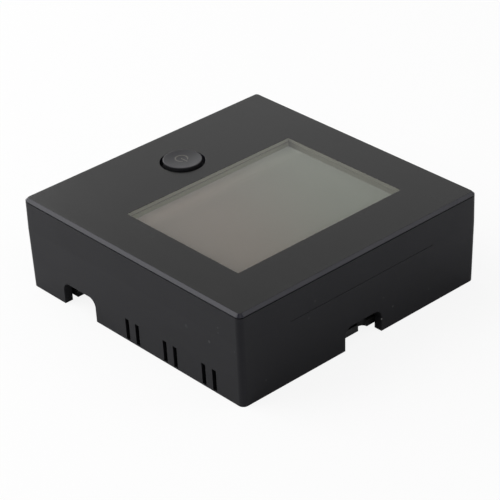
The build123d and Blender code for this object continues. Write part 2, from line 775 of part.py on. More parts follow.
with BuildPart() as varistor:
    disc_z = power_top + varistor_lift + varistor_radius
    with Locations(Location((varistor_cx, middle_row_y, disc_z), (0, 90, 0))):
        Cylinder(varistor_radius, varistor_thickness)
    fillet(varistor.edges().filter_by(GeomType.CIRCLE), varistor_edge)
    with Locations((varistor_cx, middle_row_y, power_top)):
        with GridLocations(0, lead_pitch, 1, 2):
            Cylinder(lead_radius, disc_z - power_top, align=standing)
save(varistor, "varistor")

with BuildPart() as rectifier:
    with Locations((rectifier_cx, small_row_y, power_top + leg_thickness)):
        Box(rectifier_length, rectifier_width, rectifier_height - leg_thickness, align=standing)
    with Locations((rectifier_cx, small_row_y, power_top)):
        chip_legs(rectifier_width / 2, rectifier_leg_count, rectifier_leg_pitch)
save(rectifier, "rectifier")

with BuildPart() as supply_chip:
    with Locations((chip_cx, small_row_y, power_top + leg_thickness)):
        Box(chip_length, chip_width, chip_body, align=standing)
    with Locations((chip_cx, small_row_y, power_top)):
        chip_legs(chip_width / 2, chip_leg_count, leg_pitch)
save(supply_chip, "supply_chip")

print(f"body {body_width:.2f} x {body_height:.2f} x {face_z:.2f}")
print(f"window {window_width:.2f} x {window_height:.2f}")
print(f"wall screws {2 * mount_x:.2f} apart")
print(f"button at y {button_y:.2f}, crease at {crease_z:.2f}, seam from {casing_top:.2f}")
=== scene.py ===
"""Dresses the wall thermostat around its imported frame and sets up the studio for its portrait.

Every length is in metres, in the part's own frame: the origin is the centre of the back face, +Z
points out of the wall, +Y up the wall and +X to the right as seen from the front. Sizes that are
in millimetres say so.
"""

import logging
import math
from dataclasses import dataclass
from enum import Enum
from typing import Any, Iterable, Mapping, Sequence

import bmesh
import bpy
from mathutils import Matrix, Vector


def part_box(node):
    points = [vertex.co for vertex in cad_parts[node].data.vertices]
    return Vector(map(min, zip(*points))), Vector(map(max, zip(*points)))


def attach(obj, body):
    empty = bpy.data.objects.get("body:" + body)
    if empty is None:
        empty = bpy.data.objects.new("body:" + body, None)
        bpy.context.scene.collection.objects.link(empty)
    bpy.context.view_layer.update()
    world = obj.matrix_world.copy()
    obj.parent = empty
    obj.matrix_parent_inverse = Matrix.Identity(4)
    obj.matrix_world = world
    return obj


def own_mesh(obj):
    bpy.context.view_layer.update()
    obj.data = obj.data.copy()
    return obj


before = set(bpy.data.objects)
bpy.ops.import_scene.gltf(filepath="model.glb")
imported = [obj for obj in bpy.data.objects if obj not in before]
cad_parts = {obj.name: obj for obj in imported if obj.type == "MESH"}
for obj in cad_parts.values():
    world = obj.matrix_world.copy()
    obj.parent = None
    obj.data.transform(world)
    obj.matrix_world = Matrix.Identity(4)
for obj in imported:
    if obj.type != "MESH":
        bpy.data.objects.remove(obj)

MM = 0.001
LOG = logging.getLogger("thermostat")
MEAN = 0.5
NEVER_ZERO = 0.01
WHITE = (1.0, 1.0, 1.0, 1.0)
TIN = (0.66, 0.66, 0.64)
IN_PLAN = (1.0, 1.0, 0.0)

Colour = tuple[float, float, float]
Triple = tuple[float, float, float]
Point = tuple[float, float]
Ends = tuple[float, float]


class Body(str, Enum):
    """The bodies of the part that a piece can ride on."""

    BASE = "base"
    FRONT = "front_unit"
    BUTTON = "button"


class Along(Enum):
    """The axis that a round or striped piece runs along."""

    X = 0
    Z = 2


class Wire:
    """One output socket of a node tree, which Python expressions can combine."""

    def __init__(self, graph: "Graph", socket: bpy.types.NodeSocket) -> None:
        """Keeps the socket and the graph that it belongs to."""
        self.graph = graph
        self.socket = socket

    def __add__(self, other: "Value") -> "Wire":
        """Returns self + other."""
        return self.graph.math("ADD", self, other)

    def __radd__(self, other: "Value") -> "Wire":
        """Returns other + self."""
        return self.graph.math("ADD", other, self)

    def __sub__(self, other: "Value") -> "Wire":
        """Returns self - other."""
        return self.graph.math("SUBTRACT", self, other)

    def __rsub__(self, other: "Value") -> "Wire":
        """Returns other - self."""
        return self.graph.math("SUBTRACT", other, self)

    def __mul__(self, other: "Value") -> "Wire":
        """Returns self * other."""
        return self.graph.math("MULTIPLY", self, other)

    def __rmul__(self, other: "Value") -> "Wire":
        """Returns other * self."""
        return self.graph.math("MULTIPLY", other, self)

    def __truediv__(self, other: "Value") -> "Wire":
        """Returns self / other."""
        return self.graph.math("DIVIDE", self, other)

    def __rtruediv__(self, other: "Value") -> "Wire":
        """Returns other / self."""
        return self.graph.math("DIVIDE", other, self)

    def __abs__(self) -> "Wire":
        """Returns the absolute value."""
        return self.graph.math("ABSOLUTE", self)

    def __or__(self, other: "Value") -> "Wire":
        """Returns the larger of the two, which joins two masks."""
        return self.graph.math("MAXIMUM", self, other)

    def __ror__(self, other: "Value") -> "Wire":
        """Returns the larger of the two, with the number first."""
        return self.graph.math("MAXIMUM", other, self)


Value = Wire | float
Tint = Wire | Colour


class Graph:
    """The node tree of one material or of the world."""

    def __init__(self, tree: bpy.types.NodeTree) -> None:
        """Starts with an empty tree."""
        tree.nodes.clear()
        self.tree = tree

    def node(self, kind: str, settings: Mapping[str, Any] | None = None,
             sockets: Mapping[Any, Any] | None = None) -> bpy.types.Node:
        """Adds one node.

        Args:
            kind: The node's type.
            settings: Properties to set first.
            sockets: Values or wires for the inputs, by name or by place.

        Returns:
            The new node.
        """
        made = self.tree.nodes.new(kind)
        for name, value in (settings or {}).items():
            setattr(made, name, value)
        for key, value in (sockets or {}).items():
            if isinstance(value, Wire):
                self.tree.links.new(value.socket, made.inputs[key])
            else:
                made.inputs[key].default_value = value
        return made

    def wire(self, kind: str, settings: Mapping[str, Any] | None = None,
             sockets: Mapping[Any, Any] | None = None, output: str | int = 0) -> Wire:
        """Adds one node and returns the wire of one of its outputs."""
        return Wire(self, self.node(kind, settings, sockets).outputs[output])

    def math(self, operation: str, *operands: Value) -> Wire:
        """Adds one Math node on numbers."""
        return self.wire("ShaderNodeMath", {"operation": operation}, dict(enumerate(operands)))

    def vector(self, operation: str, sockets: Mapping[Any, Any], output: str | int = 0) -> Wire:
        """Adds one Math node on vectors."""
        return self.wire("ShaderNodeVectorMath", {"operation": operation}, sockets, output)

    def place(self) -> Wire:
        """Returns the point on the piece, in millimetres of the part's frame."""
        here = self.wire("ShaderNodeTexCoord", output="Object")
        return self.vector("SCALE", {0: here, "Scale": 1 / MM})

    def axes(self, vector: Wire) -> tuple[Wire, Wire, Wire]:
        """Returns the three parts of a vector."""
        split = self.node("ShaderNodeSeparateXYZ", None, {0: vector})
        return Wire(self, split.outputs[0]), Wire(self, split.outputs[1]), Wire(self, split.outputs[2])

    def normal(self) -> Wire:
        """Returns the surface's own normal."""
        return self.wire("ShaderNodeNewGeometry", output="Normal")

    def rays(self, *kinds: str) -> list[Wire]:
        """Returns one mask for each named kind of ray."""
        path = self.node("ShaderNodeLightPath")
        return [Wire(self, path.outputs[f"Is {kind} Ray"]) for kind in kinds]

    def stretched(self, vector: Wire, by: Triple) -> Wire:
        """Returns the vector with its parts multiplied."""
        return self.vector("MULTIPLY", {0: vector, 1: by})

    def noise(self, place: Wire, size: float, detail: float = 3.0, twist: float = 0.0) -> Wire:
        """Returns soft noise from 0 to 1 whose lumps are about that size in millimetres."""
        return self.wire("ShaderNodeTexNoise", None,
                         {"Vector": place, "Scale": 1 / size, "Detail": detail, "Distortion": twist})

    def cells(self, place: Wire, size: float) -> Wire:
        """Returns a cell pattern: the distance to the nearest seed, as a share of the cells' size."""
        return self.wire("ShaderNodeTexVoronoi", None, {"Vector": place, "Scale": 1 / size}, "Distance")

    def step(self, value: Value, low: float, high: float) -> Wire:
        """Returns a smooth step from 0 at low to 1 at high, or from 1 to 0 where low is the larger."""
        ends = (0.0, 1.0) if low < high else (1.0, 0.0)
        return self.wire("ShaderNodeMapRange", {"interpolation_type": "SMOOTHSTEP"},
                         {0: value, 1: min(low, high), 2: max(low, high), 3: ends[0], 4: ends[1]})

    def mix(self, share: Value, first: Tint, second: Tint) -> Wire:
        """Returns a colour between two, by the share of the second."""
        first, second = (c if isinstance(c, Wire) else opaque(c) for c in (first, second))
        return self.wire("ShaderNodeMix", {"data_type": "RGBA"}, {0: share, 6: first, 7: second}, 2)

    def spot(self, place: Wire, centre: Triple, radius: float, core: float = 0.45) -> Wire:
        """Returns a soft round mask about a point, in millimetres, full over the core's share of it."""
        away = self.vector("DISTANCE", {0: place, 1: centre}, "Value")
        return self.step(away, radius, core * radius)

    def rounded(self, radius: float) -> Wire:
        """Returns the normal with the edges rounded to a radius in millimetres."""
        return self.wire("ShaderNodeBevel", {"samples": 6}, {"Radius": radius * MM})

    def bump(self, height: Wire, depth: float, normal: Wire | None = None) -> Wire:
        """Returns the normal of a surface that a height raises.

        Args:
            height: The height, from 0 to 1.
            depth: What a height of 1 stands for, in millimetres.
            normal: The normal to start from, if it isn't the surface's own.

        Returns:
            The new normal.
        """
        sockets: dict[str, Any] = {"Height": height, "Distance": depth * MM, "Strength": 1.0}
        if normal is not None:
            sockets["Normal"] = normal
        return self.wire("ShaderNodeBump", None, sockets)

    def principled(self, sockets: Mapping[str, Any]) -> Wire:
        """Returns one principled shader."""
        return self.wire("ShaderNodeBsdfPrincipled", None, sockets)

    def blend(self, share: Value, first: Wire, second: Wire) -> Wire:
        """Returns a shader between two, by the share of the second."""
        return self.wire("ShaderNodeMixShader", None, {0: share, 1: first, 2: second})

    def end(self, shader: Wire, output: str = "ShaderNodeOutputMaterial") -> None:
        """Ends the tree in a shader."""
        self.node(output, None, {0: shader})

    def surface(self, sockets: Mapping[str, Any]) -> None:
        """Ends the tree in one principled shader."""
        self.end(self.principled(sockets))


def shade(colour: Colour, by: float) -> Colour:
    """Returns a colour made lighter or darker."""
    return tuple(min(1.0, c * by) for c in colour)


def opaque(colour: Colour) -> tuple[float, float, float, float]:
    """Returns a colour with full alpha."""
    return (*colour, 1.0)


@dataclass(frozen=True)
class Finish:
    """A finish, which is made into one material at its first use."""

    name: str

    def material(self) -> bpy.types.Material:
        """Makes the finish's material, unless it is made already.

        Returns:
            The material.
        """
        made = bpy.data.materials.get(self.name)
        if made is None:
            made = bpy.data.materials.new(self.name)
            made.use_nodes = True
            self.paint(Graph(made.node_tree))
        return made

    def paint(self, graph: Graph) -> None:
        """Fills the material's tree."""
        raise NotImplementedError


@dataclass(frozen=True)
class Moulded(Finish):
    """Moulded plastic with the fine grain of its mould. Sizes are in millimetres."""

    colour: Colour
    roughness: float = 0.42
    shine: float = 0.5
    gleam: Colour = (1.0, 1.0, 1.0)
    grain: float = 0.16
    grain_depth: float = 0.0035
    grain_gloss: float = 0.10
    mottle: float = 0.10
    mottle_size: float = 14.0
    wipe_size: float = 6.0
    wipe_stretch: Triple = (1.0, 0.35, 1.0)
    wipe_gloss: float = 0.12
    edge: float = 0.12
    edge_wear: float = 0.25
    edge_turn: Ends = (0.995, 0.86)
    edge_light: float = 2.2
    edge_gloss: float = 0.12
    dust: float = 0.0
    dust_pitch: float = 4.2
    dust_fade: Ends = (0.030, 0.012)
    dust_colour: Colour = (0.35, 0.35, 0.34)

    def tone(self, graph: Graph, place: Wire) -> Wire:
        """Lays soft clouds over the surface, and dust specks where the finish has them.

        Args:
            graph: The material's tree.
            place: The point on the piece.

        Returns:
            The colour there.
        """
        cloud = graph.noise(place, self.mottle_size)
        dark, light = shade(self.colour, 1 - self.mottle), shade(self.colour, 1 + self.mottle)
        colour = graph.mix(cloud, dark, light)
        if self.dust:
            fleck = graph.step(graph.cells(place, self.dust_pitch), *self.dust_fade)
            colour = graph.mix(fleck * self.dust, colour, self.dust_colour)
        return colour

    def paint(self, graph: Graph) -> None:
        """Puts the grain in the bump and the gloss, and makes the edges paler and smoother.

        Args:
            graph: The material's tree.
        """
        place = graph.place()
        grain = graph.noise(place, self.grain)
        wiped = graph.stretched(place, self.wipe_stretch)
        wipe = graph.noise(wiped, self.wipe_size, detail=4.0, twist=0.6)
        soft = graph.rounded(self.edge)
        turn = graph.vector("DOT_PRODUCT", {0: soft, 1: graph.normal()}, "Value")
        worn = graph.step(turn, *self.edge_turn) * self.edge_wear
        rough = (self.roughness + self.grain_gloss * (grain - MEAN) + self.wipe_gloss * (wipe - MEAN)
                 - self.edge_gloss * worn)
        colour = graph.mix(worn, self.tone(graph, place), shade(self.colour, self.edge_light))
        graph.surface({"Base Color": colour, "Roughness": rough, "Specular IOR Level": self.shine,
                       "Specular Tint": opaque(self.gleam),
                       "Normal": graph.bump(grain, self.grain_depth, soft)})


@dataclass(frozen=True)
class Mark:
    """A small pale spot on a wall: a scuff, or a painted glint. Sizes are in millimetres."""

    centre: Triple
    radius: float
    strength: float


@dataclass(frozen=True)
class SkirtPlastic(Moulded):
    """The casing's plastic, with a few scuffs from handling and one painted glint beside a notch."""

    scuffs_and_glint: tuple[Mark, ...] = ()
    mark_grain: float = 0.5
    scuff_and_glint_colour: Colour = (0.55, 0.55, 0.53)

    def tone(self, graph: Graph, place: Wire) -> Wire:
        """Lays the scuffs and the painted glint over the plastic's colour.

        Args:
            graph: The material's tree.
            place: The point on the piece.

        Returns:
            The colour there.
        """
        colour = super().tone(graph, place)
        ragged = graph.noise(place, self.mark_grain, detail=2.0)
        # Each spot is pale: the faint ones are scuffs, the full-strength one is a painted glint.
        for mark in self.scuffs_and_glint:
            spot = graph.spot(place, mark.centre, mark.radius)
            colour = graph.mix(spot * (mark.strength * ragged), colour, self.scuff_and_glint_colour)
        return colour


@dataclass(frozen=True)
class PanelPlastic(Moulded):
    """The front panel's plastic, with a painted cool sheen on the chamfered rim."""

    painted_sheen_colour: Colour = (0.0, 0.0, 0.0)
    painted_sheen_tilt: Ends = (0.95, 0.80)

    def tone(self, graph: Graph, place: Wire) -> Wire:
        """Returns the plastic's colour with the painted cool sheen on the rim."""
        up = graph.axes(graph.normal())[2]
        # Painted sheen: faces that tilt away from up are coloured bluer, standing in for the cool
        # reflection on the chamfer.
        return graph.mix(graph.step(up, *self.painted_sheen_tilt), super().tone(graph, place), self.painted_sheen_colour)


@dataclass(frozen=True)
class FramePlastic(Moulded):
    """The display frame's plastic, with painted shade on the faces that don't face along Y, which evens
    out how the lamps light its sides.
    """

    x_side_painted_shade: float = 1.0

    def tone(self, graph: Graph, place: Wire) -> Wire:
        """Returns the plastic's colour with painted shade where the face doesn't point along Y."""
        along = graph.axes(graph.normal())[1]
        # Painted shade: the share of the darker copy grows as the face turns away from Y.
        return graph.mix(abs(along), shade(self.colour, self.x_side_painted_shade), super().tone(graph, place))


@dataclass(frozen=True)
class ClearWindow(Finish):
    """A clear polished window with inked edges, with painted shade on the edges that face along X, which
    lets the lamps light what lies behind it.
    """

    colour: Colour
    edge: Colour
    x_side_painted_shade: float
    roughness: float
    ior: float
    edge_tilt: Ends = (0.8, 0.4)
    edge_roughness: float = 0.6
    haze_size: float = 11.0
    haze_gloss: float = 0.1

    def paint(self, graph: Graph) -> None:
        """Makes the faces clear and the edges inked, and lets light through to what lies behind.

        Args:
            graph: The material's tree.
        """
        haze = graph.noise(graph.place(), self.haze_size, detail=4.0, twist=0.4)
        _, along, up = graph.axes(graph.normal())
        glass = graph.principled({"Base Color": opaque(self.colour), "Roughness": self.roughness,
                                  "IOR": self.ior, "Transmission Weight": 1.0})
        # Painted shade: the inked edges that face along X are darker, because the lamps light them more.
        tint = graph.mix(abs(along), shade(self.edge, self.x_side_painted_shade), self.edge)
        ink = graph.principled({"Base Color": tint, "Specular IOR Level": 0.0,
                                "Roughness": self.edge_roughness + self.haze_gloss * haze})
        pane = graph.blend(graph.step(abs(up), *self.edge_tilt), glass, ink)
        lamp, scattered = graph.rays("Shadow", "Diffuse")
        graph.end(graph.blend(lamp | scattered, pane, graph.wire("ShaderNodeBsdfTransparent")))


@dataclass(frozen=True)
class DisplayFilm(Finish):
    """The unlit display: a film whose tint drifts across it, with painted light along two edges.

    Places are in millimetres. The painted light lifts the shade that the window's recess casts on those
    edges; an edge names where it starts and where it is strongest.
    """

    warm: Colour
    green: Colour
    warm_at: Point
    green_at: Point
    low_edge: Ends = (-6.0, -18.0)
    left_edge: Ends = (-16.0, -34.0)
    low_edge_painted_light: float = 1.05
    left_edge_painted_light: float = 0.23
    cloud_size: float = 7.0
    cloud_share: float = 0.12
    cloud_shade: float = 0.5
    cloud_gloss: float = 0.08
    roughness: float = 0.60
    shine: float = 0.05

    def paint(self, graph: Graph) -> None:
        """Lays the drift, the clouds and the painted light along the edges over one another.

        Args:
            graph: The material's tree.
        """
        place = graph.place()
        x, y, _ = graph.axes(place)
        run = (self.green_at[0] - self.warm_at[0], self.green_at[1] - self.warm_at[1])
        long = run[0] ** 2 + run[1] ** 2
        share = ((x - self.warm_at[0]) * run[0] + (y - self.warm_at[1]) * run[1]) / long
        tint = graph.mix(graph.step(share, 0.0, 1.0), self.warm, self.green)
        cloud = graph.noise(place, self.cloud_size)
        clouded = graph.mix(self.cloud_share * cloud, tint, shade(self.warm, self.cloud_shade))
        # Painted light: the film is made paler near its -Y and -X edges, against the shade of the recess
        # walls.
        low, left = graph.step(y, *self.low_edge), graph.step(x, *self.left_edge)
        pale = 1 + self.low_edge_painted_light * low + self.left_edge_painted_light * left
        graph.surface({"Base Color": graph.vector("SCALE", {0: clouded, "Scale": pale}),
                       "Roughness": self.roughness + self.cloud_gloss * cloud,
                       "Specular IOR Level": self.shine})


@dataclass(frozen=True)
class ClearSheet(Finish):
    """A clear or milky sheet inside the display, with a fine dot pattern. Sizes are in millimetres."""

    colour: Colour
    dots: Colour
    dot_pitch: float
    roughness: float = 0.25
    dot_fade: Ends = (0.32, 0.26)
    cloud_size: float = 5.0
    cloud_gloss: float = 0.1
    shine: float = 0.5

    def paint(self, graph: Graph) -> None:
        """Prints the dots on the sheet.

        Args:
            graph: The material's tree.
        """
        place = graph.place()
        x, y, _ = graph.axes(place)
        near = [abs(graph.math("FRACT", axis / self.dot_pitch) - MEAN) for axis in (x, y)]
        dot = graph.step(near[0] + near[1], *self.dot_fade)
        cloud = graph.noise(place, self.cloud_size)
        graph.surface({"Base Color": graph.mix(dot, self.colour, self.dots),
                       "Roughness": self.roughness + self.cloud_gloss * cloud,
                       "Specular IOR Level": self.shine})


@dataclass(frozen=True)
class Striped(Finish):
    """A piece of fine stripes, such as layered rubber or wound tape. Sizes are in millimetres."""

    colour: Colour
    second: Colour
    pitch: float
    share: float
    along: Along
    roughness: float = 0.5
    blur: float = 0.08
    relief: float = 0.02
    cloud_size: float = 1.5
    cloud_relief: float = 0.4
    cloud_gloss: float = 0.12

    def paint(self, graph: Graph) -> None:
        """Lays the stripes in colour and in relief.

        Args:
            graph: The material's tree.
        """
        place = graph.place()
        beat = graph.math("FRACT", graph.axes(place)[self.along.value] / self.pitch)
        stripe = graph.step(beat, self.share, self.share + self.blur)
        cloud = graph.noise(place, self.cloud_size)
        graph.surface({"Base Color": graph.mix(stripe, self.colour, self.second),
                       "Roughness": self.roughness + self.cloud_gloss * (cloud - MEAN),
                       "Normal": graph.bump(stripe + self.cloud_relief * cloud, self.relief)})


@dataclass(frozen=True)
class PlatedMetal(Finish):
    """Plated or pressed metal, finely brushed and a little tarnished. Sizes are in millimetres."""

    colour: Colour
    tarnish: Colour
    roughness: float = 0.30
    tarnish_fade: Ends = (0.50, 0.75)
    tarnish_share: float = 0.5
    brush_size: float = 0.9
    brush_stretch: Triple = (1.0, 12.0, 3.0)
    brush_depth: float = 0.004
    brush_gloss: float = 0.18
    cloud_size: float = 1.8
    cloud_gloss: float = 0.15
    edge: float = 0.06

    def paint(self, graph: Graph) -> None:
        """Brushes the metal and lets it tarnish in clouds.

        Args:
            graph: The material's tree.
        """
        place = graph.place()
        brush = graph.noise(graph.stretched(place, self.brush_stretch), self.brush_size)
        cloud = graph.noise(place, self.cloud_size, detail=4.0, twist=0.5)
        dull = graph.step(cloud, *self.tarnish_fade) * self.tarnish_share
        rough = self.roughness + self.brush_gloss * (brush - MEAN) + self.cloud_gloss * (cloud - MEAN)
        graph.surface({"Base Color": graph.mix(dull, self.colour, self.tarnish), "Metallic": 1.0,
                       "Roughness": rough,
                       "Normal": graph.bump(brush, self.brush_depth, graph.rounded(self.edge))})


@dataclass(frozen=True)
class Leaded(Finish):
    """A body on tinned leads: below or above one height, it is metal. Sizes are in millimetres."""

    colour: Colour
    height: float
    leads_above: bool = False
    roughness: float = 0.35
    fade: float = 0.02
    cloud_size: float = 0.9
    cloud_shades: Ends = (0.8, 1.2)
    cloud_gloss: float = 0.15
    cloud_depth: float = 0.015
    edge: float = 0.08

    def paint(self, graph: Graph) -> None:
        """Paints the body, and tins its leads.

        Args:
            graph: The material's tree.
        """
        place = graph.place()
        z = graph.axes(place)[2]
        ends = (self.height - self.fade, self.height + self.fade)
        metal = graph.step(z, *ends) if self.leads_above else graph.step(z, ends[1], ends[0])
        cloud = graph.noise(place, self.cloud_size, detail=4.0)
        body = graph.mix(cloud, *(shade(self.colour, by) for by in self.cloud_shades))
        graph.surface({"Base Color": graph.mix(metal, body, TIN), "Metallic": metal,
                       "Roughness": self.roughness + self.cloud_gloss * (cloud - MEAN),
                       "Normal": graph.bump(cloud, self.cloud_depth, graph.rounded(self.edge))})


@dataclass(frozen=True)
class CapacitorSleeve(Finish):
    """A can in a shrunk sleeve with one pale stripe and a bare scored top.

    Sizes are in millimetres. A fade names where something starts and where it is full: the bare
    metal below the top, a score beside the axis, and the stripe round the can, as a share.
    """

    colour: Colour
    stripe: Colour
    along: Along
    centre: Point
    top: float
    metal: Colour = (0.72, 0.72, 0.73)
    bare_fade: Ends = (0.12, 0.06)
    score_fade: Ends = (0.16, 0.08)
    score_shade: float = 0.35
    stripe_fade: Ends = (0.60, 0.64)
    cloud_size: float = 1.2
    cloud_gloss: float = 0.12
    roughness: float = 0.28
    relief: float = 0.03

    def paint(self, graph: Graph) -> None:
        """Wraps the sleeve round the can, and leaves the scored top bare.

        Args:
            graph: The material's tree.
        """
        place = graph.place()
        parts = graph.axes(place)
        length = parts[self.along.value]
        others = [parts[i] for i in range(3) if i != self.along.value]
        across, rise = (others[i] - self.centre[i] for i in (0, 1))
        bare = graph.step(length, *(self.top - below for below in self.bare_fade))
        score = graph.step(abs(across), *self.score_fade) | graph.step(abs(rise), *self.score_fade)
        wall = graph.step(across / (abs(across) + abs(rise) + NEVER_ZERO), *self.stripe_fade)
        sleeve = graph.mix(wall, self.colour, self.stripe)
        cloud = graph.noise(place, self.cloud_size)
        metal = graph.mix(score, self.metal, shade(self.metal, self.score_shade))
        graph.surface({"Base Color": graph.mix(bare, sleeve, metal), "Metallic": bare,
                       "Roughness": self.roughness + self.cloud_gloss * cloud,
                       "Normal": graph.bump(cloud - score * bare, self.relief)})


@dataclass(frozen=True)
class Tracks:
    """One brick pattern whose joints are a board's copper tracks. Sizes are in millimetres."""

    offset: float
    squash: float
    width: float
    row: float


@dataclass(frozen=True)
class CircuitBoard(Finish):
    """A circuit board: tracks and filled copper under a glossy mask, and a pale raw edge.

    Sizes are in millimetres. The skin names where under a face the raw edge starts and is full. A
    fade names where a patch or a plated hole ends and is full, as a share of its size or pitch.
    """

    mask: Colour
    copper: Colour
    edge: Colour
    low: float
    high: float
    skin: Ends = (0.03, 0.06)
    tracks: tuple[Tracks, ...] = (Tracks(0.37, 0.8, 7.3, 1.9), Tracks(0.61, 1.3, 4.1, 3.3))
    track_width: float = 0.11
    track_blur: float = 0.1
    fill_size: float = 8.0
    fill_fade: Ends = (0.36, 0.33)
    fill_share: float = 0.7
    via_pitch: float = 2.6
    via_fade: Ends = (0.10, 0.06)
    via_colour: Colour = (0.60, 0.56, 0.42)
    via_metal: float = 0.8
    fibre_size: float = 0.5
    fibre_stretch: Triple = (1.0, 1.0, 6.0)
    fibre_shades: Ends = (0.7, 1.2)
    roughness: float = 0.24
    side_gloss: float = 0.35
    fibre_gloss: float = 0.08
    relief: float = 0.035

    def paint(self, graph: Graph) -> None:
        """Lays tracks as the joints of brick patterns, and ground copper in patches.

        Args:
            graph: The material's tree.
        """
        place = graph.place()
        z = graph.axes(place)[2]
        plan = graph.stretched(place, IN_PLAN)
        copper = graph.step(graph.cells(place, self.fill_size), *self.fill_fade) * self.fill_share
        for track in self.tracks:
            copper = copper | graph.wire(
                "ShaderNodeTexBrick", {"offset": track.offset, "squash": track.squash},
                {"Vector": plan, "Scale": 1.0, "Mortar Size": self.track_width,
                 "Mortar Smooth": self.track_blur, "Brick Width": track.width,
                 "Row Height": track.row}, "Fac")
        via = graph.step(graph.cells(place, self.via_pitch), *self.via_fade)
        fibre = graph.noise(graph.stretched(place, self.fibre_stretch), self.fibre_size)
        side = (graph.step(z, *(self.low + depth for depth in self.skin))
                * graph.step(z, *(self.high - depth for depth in self.skin)))
        face = graph.mix(via, graph.mix(copper, self.mask, self.copper), self.via_colour)
        raw = graph.mix(fibre, *(shade(self.edge, by) for by in self.fibre_shades))
        rough = self.roughness + self.side_gloss * side + self.fibre_gloss * fibre
        graph.surface({"Base Color": graph.mix(side, face, raw), "Roughness": rough,
                       "Metallic": via * self.via_metal * (1 - side),
                       "Normal": graph.bump(copper, self.relief)})


@dataclass(frozen=True)
class StudioFloor(Finish):
    """A white studio floor that keeps the soft shadow of what stands on it.

    Attributes:
        colour: The floor's own colour.
        glow: The share of plain white that the camera sees.
        under: How far from the part's middle the white starts, in millimetres.
        mirrored: Where the white starts and is full in reflections, in millimetres.
        fade: How far the white takes to be full for the camera, in millimetres.
    """

    colour: Colour
    glow: float
    under: float
    mirrored: Ends
    fade: float = 1.0

    def paint(self, graph: Graph) -> None:
        """Makes the floor white to the camera and in reflections, with a share of real shading.

        Args:
            graph: The material's tree.
        """
        camera, glossy, through = graph.rays("Camera", "Glossy", "Transmission")
        x, y, _ = graph.axes(graph.place())
        away = abs(x) | abs(y)
        far_floor = (glossy | through) * graph.step(away, *self.mirrored)
        open_floor = camera * graph.step(away, self.under, self.under + self.fade)
        lit = graph.wire("ShaderNodeBsdfDiffuse", None, {"Color": opaque(self.colour)})
        white = graph.wire("ShaderNodeEmission", None, {"Color": WHITE, "Strength": 1.0})
        graph.end(graph.blend((open_floor | far_floor) * self.glow, lit, white))


def dress(finish: Finish, *names: str) -> None:
    """Gives CAD nodes a finish.

    Args:
        finish: The finish to wear.
        names: The nodes.
    """
    for name in names:
        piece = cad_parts[name]
        if not piece.material_slots:
            piece.data.materials.append(None)
        for slot in piece.material_slots:
            slot.material = finish.material()
        LOG.info("dressed %s in %s", name, finish.name)


def add_piece(name: str, build: bmesh.types.BMesh, finish: Finish, body: Body) -> None:
    """Turns a built mesh into a piece that rides on a body.

    Args:
        name: The piece's name.
        build: The mesh, in the part's frame. It is freed.
        finish: The finish to wear.
        body: The body that carries it.
    """
    bmesh.ops.recalc_face_normals(build, faces=build.faces)
    mesh = bpy.data.meshes.new(name)
    build.to_mesh(mesh)
    build.free()
    mesh.materials.append(finish.material())
    piece = bpy.data.objects.new(name, mesh)
    bpy.context.scene.collection.objects.link(piece)
    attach(piece, body.value)
    LOG.info("made %s with %d faces", name, len(mesh.polygons))


def middle(node: str) -> Vector:
    """Returns the centre of a node's box."""
    low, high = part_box(node)
    return (low + high) / 2


